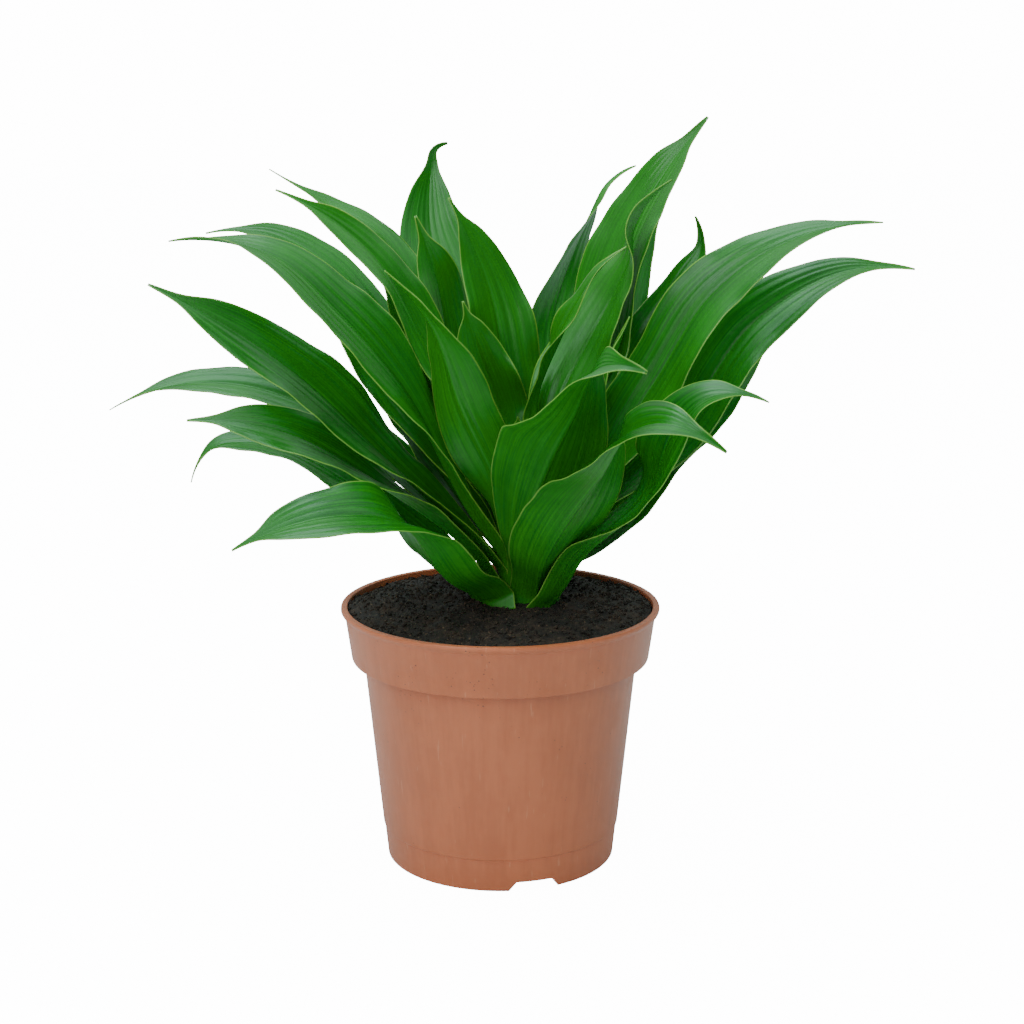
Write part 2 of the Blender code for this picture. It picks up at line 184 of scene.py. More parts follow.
def terracotta_finish():
    finish, start = new_finish("terracotta plastic")
    place = start.add("TexCoord", out="Object")
    x_y_z = start.add("SeparateXYZ", None, {0: place}, out="Z")
    height = x_y_z / MM
    cloud = start.noise(place, 28, 4, 0.6)
    grain = start.noise(place, 900, 3, 0.6)
    stretched = start.add("Mapping", None, {"Vector": place, "Scale": (1, 1, 0.06)})
    drawn = start.noise(stretched, 260, 3, 0.7)
    scratch = start.noise(stretched, 700, 2, 0.6).step(0.68, 0.74)
    colour = (cloud * 0.6 + drawn * 0.4).step(0.38, 0.62).mix(TERRACOTTA_DARK, TERRACOTTA_LIGHT)
    colour = (scratch * 0.35).mix(colour, SCUFF_COLOUR)
    speck = start.add("TexVoronoi", None, {"Vector": place, "Scale": 420}).step(0.16, 0.08)
    dusty = start.noise(place, 45, 3).step(0.50, 0.66) * height.step(40, 100)
    few = start.noise(place, 90, 1).step(0.62, 0.70)
    colour = (speck * (dusty * 0.8 + few * 0.5).at_most(1)).mix(colour, SOIL_STAIN)
    relief = grain * 0.35 + drawn * 0.4 + speck * dusty * 1.5
    bump = start.add("Bump", None, {"Strength": 0.25, "Distance": 0.00012, "Height": relief})
    shader = start.add("BsdfPrincipled", None, {
        "Base Color": colour, "Roughness": 0.36 + cloud * 0.16 + dusty * 0.12, "Normal": bump,
        "Specular IOR Level": 0.5, "Subsurface Weight": 0.06, "Subsurface Scale": 0.002,
    })
    surface(start, shader)
    return finish


def body_radius(height):
    return BODY_RADIUS_AT_0 + BODY_TAPER * height


def turned(profile, sides, centre=(0, 0)):
    """Spin a profile of (radius, height) points, which ends on the axis, into a closed body."""
    bm = bmesh.new()
    verts = [bm.verts.new((radius, 0, height)) for radius, height in profile]
    edges = [bm.edges.new(pair) for pair in zip(verts, verts[1:])]
    bmesh.ops.spin(bm, geom=verts + edges, cent=(0, 0, 0), axis=(0, 0, 1), angle=math.tau,
                   steps=sides, use_merge=True)
    bmesh.ops.remove_doubles(bm, verts=bm.verts, dist=0.001)
    bmesh.ops.recalc_face_normals(bm, faces=bm.faces)
    bmesh.ops.translate(bm, verts=bm.verts, vec=(*centre, 0))
    return bm


def add_piece(name, bm, *finishes, sharp=35):
    """Turn a bmesh in millimetres into a smooth-shaded object in metres."""
    bmesh.ops.scale(bm, vec=(MM, MM, MM), verts=bm.verts)
    mesh = bpy.data.meshes.new(name)
    bm.to_mesh(mesh)
    bm.free()
    for finish in finishes:
        mesh.materials.append(finish)
    mesh.shade_smooth()
    mesh.set_sharp_from_angle(angle=math.radians(sharp))
    made = bpy.data.objects.new(name, mesh)
    bpy.context.scene.collection.objects.link(made)
    return made


def cut(target, bm):
    """Cut one closed shape out of a piece for good."""
    cutter = add_piece("cutter", bm)
    tool = target.modifiers.new("Cut", "BOOLEAN")
    tool.operation = "DIFFERENCE"
    tool.solver = "EXACT"
    tool.object = cutter
    with bpy.context.temp_override(object=target, active_object=target):
        bpy.ops.object.modifier_apply(modifier=tool.name)
    bpy.data.objects.remove(cutter, do_unlink=True)


def pot_profile():
    foot = body_radius(0) - STEP_DEPTH
    shelf = BAND_FOOT + WALL
    return (
        (0, FLOOR_UNDERSIDE),
        (foot - FOOT_WIDTH - 0.3, FLOOR_UNDERSIDE),
        (foot - FOOT_WIDTH, 0.3),
        (foot - FOOT_WIDTH + 0.3, 0),
        (foot - 0.3, 0),
        (foot, 0.3),
        (body_radius(STEP_HEIGHT) - STEP_DEPTH, STEP_HEIGHT - 0.45),
        (body_radius(STEP_HEIGHT) - 0.08, STEP_HEIGHT - 0.1),
        (body_radius(STEP_HEIGHT), STEP_HEIGHT + 0.3),
        (body_radius(BAND_FOOT), BAND_FOOT - 1.2),
        (body_radius(BAND_FOOT) + 0.25, BAND_FOOT - 0.4),
        (body_radius(BAND_FOOT) + 0.9, BAND_FOOT),
        (BAND_FOOT_RADIUS - 0.7, BAND_FOOT),
        (BAND_FOOT_RADIUS - 0.2, BAND_FOOT + 0.2),
        (BAND_FOOT_RADIUS, BAND_FOOT + 0.7),
        (BAND_TOP_RADIUS - 0.1, BAND_TOP - 0.4),
        (BAND_TOP_RADIUS + 0.3, BAND_TOP + 0.5),
        (RIM_RADIUS - 0.25, BAND_TOP + 1.5),
        (RIM_RADIUS, BAND_TOP + 2.0),
        (RIM_RADIUS, POT_HEIGHT - 0.6),
        (RIM_RADIUS - 0.2, POT_HEIGHT - 0.15),
        (RIM_RADIUS - 0.6, POT_HEIGHT),
        (RIM_RADIUS - 2.2, POT_HEIGHT),
        (RIM_RADIUS - 2.6, POT_HEIGHT - 0.2),
        (RIM_RADIUS - 2.8, POT_HEIGHT - 0.7),
        (BAND_TOP_RADIUS - WALL, BAND_TOP - 0.5),
        (BAND_FOOT_RADIUS - WALL, shelf + 0.8),
        (body_radius(BAND_FOOT) - WALL, shelf),
        (body_radius(FLOOR_TOP) - WALL, FLOOR_TOP + 0.8),
        (body_radius(FLOOR_TOP) - WALL - 0.8, FLOOR_TOP),
        (0, FLOOR_TOP),
    )


pot = add_piece("pot_moulding", turned(pot_profile(), POT_SIDES), terracotta_finish())
for index in range(DRAIN_COUNT):
    angle = math.tau * index / DRAIN_COUNT
    hole = bmesh.new()
    hole_at = Matrix.Translation((DRAIN_CIRCLE * math.cos(angle), DRAIN_CIRCLE * math.sin(angle), FLOOR_TOP))
    bmesh.ops.create_cone(hole, cap_ends=True, segments=32, radius1=DRAIN_RADIUS, radius2=DRAIN_RADIUS,
                          depth=6, matrix=hole_at)
    cut(pot, hole)
for index in range(NOTCH_COUNT):
    notch = bmesh.new()
    bmesh.ops.create_cube(notch, size=1)
    for corner in notch.verts:
        upper = corner.co.z > 0
        notch_width = NOTCH_WIDTH_TOP if upper else NOTCH_WIDTH_FOOT + 2
        corner.co = Vector((body_radius(0) - 1 + 6 * corner.co.x, notch_width * corner.co.y,
                            NOTCH_HEIGHT if upper else -1))
    bmesh.ops.bevel(notch, geom=[e for e in notch.edges if min(v.co.z for v in e.verts) > 0], offset=0.5,
                    offset_type="OFFSET", affect="EDGES", segments=3, profile=0.5, material=-1)
    notch_turn = Matrix.Rotation(math.radians(NOTCH_AZIMUTH + 360 * index / NOTCH_COUNT), 3, "Z")
    bmesh.ops.rotate(notch, verts=notch.verts, matrix=notch_turn)
    cut(pot, notch)
pot.data.shade_smooth()
pot.data.set_sharp_from_angle(angle=math.radians(35))
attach(pot, "root")
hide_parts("pot")


# Soil. Dark peat with bark fibre, filled by hand to the rim and heaped round the plant, so it is
# loose crumbs of every size over a lumpy mound.

SOIL_EDGE = 103.6
SOIL_CROWN = 109.0
SOIL_SIDES = 150
SOIL_RINGS = 46
STEM_X = 9.0
STEM_Y = 2.0
CRUMB_COUNT = 4096
PEAT_DARK = (0.006, 0.004, 0.003, 1)
PEAT_BROWN = (0.035, 0.020, 0.012, 1)
PEAT_FIBRE = (0.11, 0.07, 0.04, 1)


def peat_finish():
    finish, start = new_finish("peat")
    place = start.add("TexCoord", out="Object")
    fine = start.noise(place, 900, 4, 0.7)
    patch = start.noise(place, 160, 3, 0.6)
    fleck = start.noise(place, 650, 2, 0.5).step(0.64, 0.72)
    colour = (patch * 0.5 + fine * 0.5).step(0.42, 0.66).mix(PEAT_DARK, PEAT_BROWN)
    colour = (fleck * 0.7).mix(colour, PEAT_FIBRE)
    bump = start.add("Bump", None, {"Strength": 0.7, "Distance": 0.0005, "Height": fine + patch * 0.5})
    shader = start.add("BsdfPrincipled", None, {
        "Base Color": colour, "Roughness": 0.72 + patch * 0.2, "Normal": bump, "Specular IOR Level": 0.35,
    })
    surface(start, shader)
    return finish


def mound(x, y):
    """Height of the soil in millimetres: heaped round the stem and at the left of the rim."""
    share = min(math.hypot(x, y) / BAND_TOP_RADIUS, 1)
    place = Vector((x, y, 7))
    lump = noise.noise(place / 11) + 0.6 * noise.noise(place / 4.7) + 0.45 * noise.noise(place / 2.1)
    near_stem = min(math.hypot(x - STEM_X, y - STEM_Y) / 22, 1)
    heap = 2.6 * math.exp(-((x + 52) ** 2 + (y + 6) ** 2) / 380)
    heap = heap + 1.2 * math.exp(-((x - 50) ** 2 + (y - 18) ** 2) / 500)
    level = SOIL_CROWN - (SOIL_CROWN - SOIL_EDGE) * share ** 3
    return level + 1.1 * lump * (0.45 + 0.55 * near_stem) + heap - 0.6


def many(template, count):
    """Repeat a small shape in one mesh by doubling it."""
    copies = 1
    while copies < count:
        bmesh.ops.duplicate(template, geom=template.verts[:] + template.edges[:] + template.faces[:])
        copies *= 2
    return template


def tumble(rng):
    """A random turn, as rows of a matrix."""
    turn = Matrix.Rotation(rng.uniform(0, math.tau), 3, "Z")
    turn = turn @ Matrix.Rotation(rng.uniform(0, math.pi), 3, "X")
    return np.array(turn @ Matrix.Rotation(rng.uniform(0, math.tau), 3, "Z"))


def crumbs(places, rng, sizes):
    """Angular soil crumbs, one at each place, each a jittered icosphere of its own size and turn."""
    bm = bmesh.new()
    bmesh.ops.create_icosphere(bm, subdivisions=1, radius=1)
    shape = np.array([v.co for v in bm.verts])
    many(bm, len(places))
    coordinates = []
    for place, size in zip(places, sizes):
        jitter = np.array([[rng.uniform(0.62, 1.25)] for _ in shape])
        stretch = np.array([1, rng.uniform(0.55, 1), rng.uniform(0.4, 0.9)])
        coordinates.append(np.array(place) + size * (shape * jitter * stretch) @ tumble(rng).T)
    for vert, co in zip(bm.verts, np.concatenate(coordinates)):
        vert.co = co
    bmesh.ops.recalc_face_normals(bm, faces=bm.faces)
    return bm


peat = peat_finish()
shelf_height = BAND_FOOT + WALL
edge_radius = BAND_TOP_RADIUS - WALL - 0.4
soil_profile = [
    (0, FLOOR_TOP + 0.3),
    (body_radius(FLOOR_TOP) - WALL - 1.2, FLOOR_TOP + 0.3),
    (body_radius(FLOOR_TOP) - WALL - 0.3, FLOOR_TOP + 1.3),
    (body_radius(BAND_FOOT) - WALL - 0.4, shelf_height + 0.2),
    (BAND_FOOT_RADIUS - WALL - 0.4, shelf_height + 1.3),
    (edge_radius, SOIL_EDGE - 3.5),
]
soil_profile += [(edge_radius * (1 - ring / SOIL_RINGS), SOIL_CROWN) for ring in range(SOIL_RINGS + 1)]
soil_bm = turned(soil_profile, SOIL_SIDES)
for vert in soil_bm.verts:
    if vert.co.z > SOIL_CROWN - 0.01:
        vert.co.z = mound(vert.co.x, vert.co.y)
soil = add_piece("soil_mound", soil_bm, peat, sharp=180)
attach(soil, "root")
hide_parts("soil")

rng = random.Random(11)
places, sizes = [], []
while len(places) < CRUMB_COUNT:
    radius = edge_radius * math.sqrt(rng.random()) * 1.004
    angle = rng.uniform(0, math.tau)
    x, y = radius * math.cos(angle), radius * math.sin(angle)
    size = 0.32 + 1.0 * rng.random() ** 3
    places.append((x, y, mound(x, y) + 0.15 * size))
    sizes.append(size)
crumb_layer = add_piece("soil_crumbs", crumbs(places, rng, sizes), peat, sharp=30)
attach(crumb_layer, "root")


# Stem. The green cane that carries the leaves, ringed by their bases and almost hidden by them.

STEM_BOTTOM = 62.0
STEM_TOP = 158.0
STEM_RADIUS = 9.0
TAPER_START = 108.0
TAPER_LENGTH = 56.0
TAPER_LOSS = 4.5
STEM_RING_STEP = 1.0
SCAR_SPACING = 2.6
SCAR_DEPTH = 0.25
CANE_GREEN = (0.16, 0.26, 0.06, 1)
CANE_PALE = (0.42, 0.44, 0.18, 1)


def stem_radius(height):
    share = min(max((height - TAPER_START) / TAPER_LENGTH, 0), 1)
    return STEM_RADIUS - TAPER_LOSS * share


def cane_finish():
    finish, start = new_finish("green cane")
    place = start.add("TexCoord", out="Object")
    up = start.add("SeparateXYZ", None, {0: place}, out="Z")
    ring = start.math("SINE", up * (math.tau / (SCAR_SPACING * MM)))
    mottle = start.noise(place, 220, 3)
    colour = (ring.step(0.4, 1) * 0.6 + mottle * 0.3).mix(CANE_GREEN, CANE_PALE)
    bump = start.add("Bump", None, {"Strength": 0.4, "Distance": 0.0003, "Height": ring + mottle})
    shader = start.add("BsdfPrincipled", None, {
        "Base Color": colour, "Roughness": 0.5 + mottle * 0.2, "Normal": bump,
    })
    surface(start, shader)
    return finish


stem_profile = [(0, STEM_BOTTOM), (STEM_RADIUS - 2, STEM_BOTTOM)]
ring_height = STEM_BOTTOM + 4
while ring_height < STEM_TOP - 2:
    scar = SCAR_DEPTH * (0.5 + 0.5 * math.cos(math.tau * ring_height / SCAR_SPACING)) ** 3
    stem_profile.append((stem_radius(ring_height) - scar, ring_height))
    ring_height += STEM_RING_STEP
stem_profile += [(4.6, STEM_TOP - 1.6), (3.2, STEM_TOP - 0.4), (0, STEM_TOP)]
stem = add_piece("stem_cane", turned(stem_profile, 40, (STEM_X, STEM_Y)), cane_finish(), sharp=60)
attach(stem, "root")
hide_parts("stem_with_roots")


# Leaves. Each is one leathery glossy strap that clasps the stem, widens, arches over and ends in a
# long twisted point. Parallel veins pleat the blade and a thin pale line runs round its edge.

LEAF_STATIONS = 96
COLUMN_WIDTH = 0.8
LEAF_GAP = 1.3
BASE_SHARE = 0.34
FULL_WIDTH_AT = 0.42
WAVE_HEIGHT = 1.6
WAVE_COUNT = 3.0
RIPPLE_HEIGHT = 0.35
HALF_WIDTH = ((0.0, 1.0), (0.3, 1.0), (0.52, 1.0), (0.7, 0.82), (0.86, 0.42), (0.93, 0.13), (1.0, 0.03))
WRAP_END = 0.35
FLAT_CURL = -12.0
TIP_CURL = -5.0
BLADE_THICKNESS = 1.1
BLADE_SHARE = 0.42
EDGE_SHARE = 0.2
PLEAT_SPACING = 4.2
PLEAT_HEIGHT = 0.15
MIDRIB_GROOVE = 0.45
SHEATH_ROWS = 4
SHEATH_STEP = 1.5

# azimuth, height and rise are where a leaf leaves the stem and how steeply. width is its full width.
# turn is its roll about its own midrib at a third, two thirds and the tip. spine is the midrib's way
# to the tip. base is the share of the width at the stem, and fold the V of the blade, mid and tip.
# root is where an outer leaf comes out of the soil, where that isn't against the stem.
Leaf = namedtuple("Leaf", "azimuth height rise width turn spine base fold root",
                  defaults=(BASE_SHARE, (22, 18), None))

LEAVES = {
    "leaf_left_1": Leaf(165, 110.5, 42, 24, (-10, -20, -10),
                        ((-16, 2, 122), (-58, 11, 151), (-103, 18, 169), (-118, 18, 167), (-127, 15, 153))),
    "leaf_left_2": Leaf(190, 114, 46, 31, (5, -35, -60),
                        ((-13, -6, 130), (-49, -14, 159), (-83, -20, 180), (-122, -20, 185))),
    "leaf_left_3": Leaf(148, 117, 52, 24, (-20, -20, 15),
                        ((-13, 14, 129), (-48, 23, 163), (-83, 29, 184), (-108, 31, 191), (-134, 31, 191),
                         (-162, 28, 181))),
    "leaf_left_4": Leaf(193, 120, 52, 33, (-20, -50, -70),
                        ((-12, -6, 135), (-44, -13, 167), (-82, -18, 205), (-135, -20, 238))),
    "leaf_left_5": Leaf(156, 123.5, 56, 25, (-5, -15, -30),
                        ((-10, 11, 136), (-29, 19, 162), (-45, 25, 186), (-54, 29, 198))),
    "leaf_left_6": Leaf(213, 124.5, 62, 33, (-40, -62, -5),
                        ((-11, -11, 145), (-40, -23, 201), (-62, -28, 228), (-83, -30, 248),
                         (-125, -28, 255))),
    "leaf_left_7": Leaf(159, 127.3, 62, 29, (-25, -36, -15),
                        ((-11, 8, 147), (-46, 16, 201), (-75, 24, 243), (-97, 26, 254), (-119, 24, 254)),
                        fold=(12, 12)),
    "leaf_left_8": Leaf(229, 129.5, 61, 26, (50, 2, -46),
                        ((1, -14, 152), (-15, -26, 192), (-27, -34, 226), (-43, -38, 245))),
    "leaf_left_9": Leaf(170, 130.5, 63, 19, (-45, -55, -60),
                        ((-6, 5, 149), (-22, 7, 180), (-35, 8, 212), (-49, 10, 241))),
    "leaf_left_10": Leaf(180, 141, 70, 23, (-30, -38, -52),
                         ((-5, 1, 158), (-30, 1, 213), (-47, -1, 244), (-87, -4, 273))),
    "leaf_left_11": Leaf(123, 145.5, 72, 20, (-11, 14, 22),
                         ((-6, 24, 163), (-31, 42, 212), (-50, 52, 251), (-77, 57, 266), (-97, 59, 278))),
    "leaf_left_12": Leaf(145, 149, 74, 36, (-14, -6, -55),
                         ((-1, 20, 166), (-19, 33, 197), (-27, 40, 235), (-35, 40, 260))),
    "leaf_left_13": Leaf(150, 157, 84, 26, (-60, -62, -40),
                         ((1, 15, 177), (-9, 13, 208), (-15, 12, 228))),
    "leaf_front_1": Leaf(238, 109.4, 40, 33, (-5, -48, -45),
                         ((-20, -32, 124), (-38, -51, 151), (-59, -66, 157), (-98, -74, 146)),
                         base=0.85, root=(-7, -10)),
    "leaf_front_2": Leaf(326, 109.2, 38, 33, (15, 60, 27),
                         ((33, -22, 131), (58, -38, 159), (66, -48, 186), (76, -54, 199),
                          (100, -56, 198)), base=0.6, root=(20, -12)),
    "leaf_front_3": Leaf(292, 110.5, 56, 37, (-12, 38, 52),
                         ((17, -32, 131), (37, -68, 172), (49, -90, 194), (60, -103, 198),
                          (79, -107, 189)), base=0.62, root=(14, -8.5)),
    "leaf_front_4": Leaf(275, 119, 64, 43, (-20, 22, 95),
                         ((9, -22, 135), (17, -50, 169), (27, -76, 196), (37, -94, 217),
                          (51, -108, 217)), base=0.36),
    "leaf_right_1": Leaf(30, 112.6, 46, 27, (18, 18, 38),
                         ((40, 9, 128), (62, 16, 155), (90, 21, 185), (113, 25, 214))),
    "leaf_right_2": Leaf(6, 117.5, 53, 33, (35, 46, 28),
                         ((34, 0, 139), (74, 1, 181), (102, 2, 221), (141, 0, 242), (163, -2, 242))),
    "leaf_right_3": Leaf(346, 125, 60, 31, (60, 55, 25),
                         ((31, -8, 148), (61, -17, 200), (84, -23, 237), (112, -27, 256), (145, -27, 262))),
    "leaf_right_4": Leaf(34, 130, 66, 31, (10, 24, 20),
                         ((31, 15, 148), (57, 28, 196), (77, 36, 234), (83, 38, 248), (80, 37, 260))),
    "leaf_right_5": Leaf(66, 125, 60, 21, (10, 0, 14),
                         ((36, 33, 150), (50, 49, 201), (60, 62, 238), (70, 68, 265))),
    "leaf_right_6": Leaf(325, 138, 70, 22, (30, 40, 30),
                         ((25, -15, 164), (38, -21, 193), (45, -23, 213), (50, -23, 226))),
    "leaf_right_7": Leaf(24, 145.5, 65, 42, (16, 8, 45),
                         ((26, 7, 168), (41, 20, 208), (57, 30, 260), (84, 34, 300))),
    "leaf_right_8": Leaf(355, 150, 78, 31, (60, 32, -40),
                         ((24, 3, 189), (35, 8, 211), (45, 10, 229), (52, 9, 245), (53, 9, 257),
                          (59, 9, 268), (68, 9, 276))),
    "leaf_right_9": Leaf(320, 156, 76, 16, (20, 50, 60),
                         ((15, -6, 194), (22, -11, 213), (30, -15, 230), (39, -16, 244), (49, -15, 252))),
    "leaf_back_1": Leaf(80, 110.4, 43, 32, (0, 0, 0),
                        ((25, 30, 123), (39, 66, 141), (50, 90, 157), (58, 107, 161))),
    "leaf_back_2": Leaf(112, 114, 46, 32, (0, 0, 0),
                        ((2, 33, 124), (-14, 66, 148), (-27, 90, 166), (-35, 107, 170))),
    "leaf_back_3": Leaf(64, 120, 48, 32, (0, 0, 0),
                        ((38, 32, 129), (62, 60, 162), (84, 84, 183), (96, 98, 191))),
    "leaf_back_4": Leaf(124, 120.5, 52, 30, (0, 0, 0),
                        ((-6, 30, 134), (-26, 62, 167), (-41, 86, 187), (-50, 100, 194))),
    "leaf_back_5": Leaf(108, 132.6, 64, 43, (0, -8, 0),
                        ((0, 30, 151), (-16, 60, 211), (-31, 80, 256), (-30, 86, 279), (-29, 86, 285),
                         (-23, 85, 288))),
    "leaf_back_6": Leaf(82, 139, 68, 27, (0, 55, 150),
                        ((21, 37, 158), (24, 76, 219), (38, 90, 255), (48, 94, 272), (59, 94, 278))),
    "leaf_back_7": Leaf(104, 153, 81, 31, (4, 10, 25),
                        ((9, 21, 170), (3, 25, 194), (-5, 28, 232), (-21, 28, 268))),
    "leaf_spear": Leaf(270, 160.5, 88, 9, (0, 0, 0),
                       ((8, -4, 174), (7, -5, 184))),
}

LEAF_DEEP = (0.003, 0.060, 0.0015, 1)
LEAF_MID = (0.014, 0.20, 0.004, 1)
LEAF_YOUNG = (0.035, 0.27, 0.006, 1)
LEAF_VEIN = (0.03, 0.25, 0.012, 1)
UNDER_DEEP = (0.008, 0.12, 0.003, 1)
UNDER_MID = (0.03, 0.26, 0.006, 1)
MARGIN_PALE = (0.24, 0.46, 0.07, 1)
LEAF_GLOW = (0.08, 0.55, 0.005, 1)
LEAF_SHEEN = (0.75, 1.0, 0.95, 1)


def leaf_finish(name, deep, mid, gloss, glow):
    """One side of a blade. Its UV runs across and along, and edge is the distance to the margin in mm."""
    finish, start = new_finish(name)
    place = start.add("TexCoord", out="Object")
    blade_uv = start.add("UVMap", {"uv_map": "blade"})
    across = start.add("SeparateXYZ", None, {0: blade_uv}, out="X")
    along = start.add("SeparateXYZ", None, {0: blade_uv}, out="Y")
    edge = start.add("Attribute", {"attribute_name": "edge"}, out="Fac")
    breadth = start.add("Attribute", {"attribute_name": "breadth"}, out="Fac")
    youth = start.add("Attribute", {"attribute_name": "youth"}, out="Fac")
    veins_at = start.add("CombineXYZ", None, {"X": across * 58, "Y": along * 2.2 + youth * 40})
    hairs_at = start.add("CombineXYZ", None, {"X": across * 190, "Y": along * 5 + youth * 90})
    veins = start.noise(veins_at, 1, 2, 0.6)
    hairs = start.noise(hairs_at, 1, 2, 0.6)
    cloud = start.noise(place, 35, 3)
    tone = veins * 0.55 + hairs * 0.2 + cloud * 0.25
    colour = tone.step(0.36, 0.66).mix(deep, mid)
    colour = (youth * 0.45 + along.step(0.34, 0.0) * 0.35).mix(colour, LEAF_YOUNG)
    colour = (veins.step(0.62, 0.74) * 0.3).mix(colour, LEAF_VEIN)
    from_rib = abs(across - 0.5)
    colour = (from_rib.step(0.022, 0.006) * along.step(1.0, 0.55) * 0.35).mix(colour, LEAF_VEIN)
    colour = (edge.step(0.55, 0.2) * (0.4 + cloud * 0.6)).mix(colour, MARGIN_PALE)
    relief = (veins * 0.7 + hairs * 0.25) * breadth
    bump = start.add("Bump", None, {"Strength": 0.35, "Distance": 0.00022, "Height": relief})
    shader = start.add("BsdfPrincipled", None, {
        "Base Color": colour, "Roughness": gloss + cloud * 0.12 + hairs * 0.08, "Normal": bump,
        "Specular IOR Level": 0.5, "Specular Tint": LEAF_SHEEN,
    })
    through = start.add("BsdfTranslucent", None, {"Color": LEAF_GLOW})
    both = start.add("MixShader", None, {0: glow, 1: shader, 2: through})
    surface(start, both)
    return finish


def unit(vector):
    return vector / np.linalg.norm(vector)


def smooth(x, knots):
    """Cubic curve through the knots that doesn't overshoot them."""
    at = np.array([knot[0] for knot in knots], float)
    values = np.array([knot[1] for knot in knots], float)
    steps = np.diff(values) / np.diff(at)
    slopes = np.concatenate([steps[:1], np.zeros(len(knots) - 2), steps[-1:]])
    for i in range(1, len(knots) - 1):
        if steps[i - 1] * steps[i] > 0:
            slopes[i] = 2 * steps[i - 1] * steps[i] / (steps[i - 1] + steps[i])
    i = np.clip(np.searchsorted(at, x, side="right") - 1, 0, len(knots) - 2)
    span = at[i + 1] - at[i]
    t = (x - at[i]) / span
    return ((2 * t**3 - 3 * t**2 + 1) * values[i] + (t**3 - 2 * t**2 + t) * span * slopes[i]
            + (3 * t**2 - 2 * t**3) * values[i + 1] + (t**3 - t**2) * span * slopes[i + 1])


def foot(leaf):
    """Where a leaf starts, seen from above, and how far that is from the stem's axis."""
    out = stem_radius(leaf.height) + LEAF_GAP
    if leaf.root:
        return leaf.root, math.hypot(leaf.root[0] - STEM_X, leaf.root[1] - STEM_Y)
    azimuth = math.radians(leaf.azimuth)
    return (STEM_X + out * math.cos(azimuth), STEM_Y + out * math.sin(azimuth)), out


def midrib(leaf, stations):
    """Points at equal steps along a smooth curve from the stem through the leaf's spine points."""
    azimuth, rise = math.radians(leaf.azimuth), math.radians(leaf.rise)
    points = np.array([(*foot(leaf)[0], leaf.height), *leaf.spine], float)
    legs = np.diff(points, axis=0)
    lengths = np.linalg.norm(legs, axis=1)
    ways = legs / lengths[:, None]
    level = math.cos(rise)
    tangents = [np.array([math.cos(azimuth) * level, math.sin(azimuth) * level, math.sin(rise)])]
    for i in range(1, len(points) - 1):
        tangents.append(unit(ways[i - 1] * lengths[i] + ways[i] * lengths[i - 1]))
    tangents.append(unit(2 * ways[-1] - tangents[-1]))
    fine = []
    for i, length in enumerate(lengths):
        last = i == len(lengths) - 1
        t = np.linspace(0, 1, 60, endpoint=last)[:, None]
        near = points[i] + tangents[i] * length / 3
        far = points[i + 1] - tangents[i + 1] * length / 3
        fine.append((1 - t)**3 * points[i] + 3 * (1 - t)**2 * t * near + 3 * (1 - t) * t**2 * far
                    + t**3 * points[i + 1])
    fine = np.concatenate(fine)
    travelled = np.concatenate([[0], np.cumsum(np.linalg.norm(np.diff(fine, axis=0), axis=1))])
    wanted = np.linspace(0, travelled[-1], stations)
    return np.stack([np.interp(wanted, travelled, fine[:, axis]) for axis in range(3)], 1), travelled[-1]


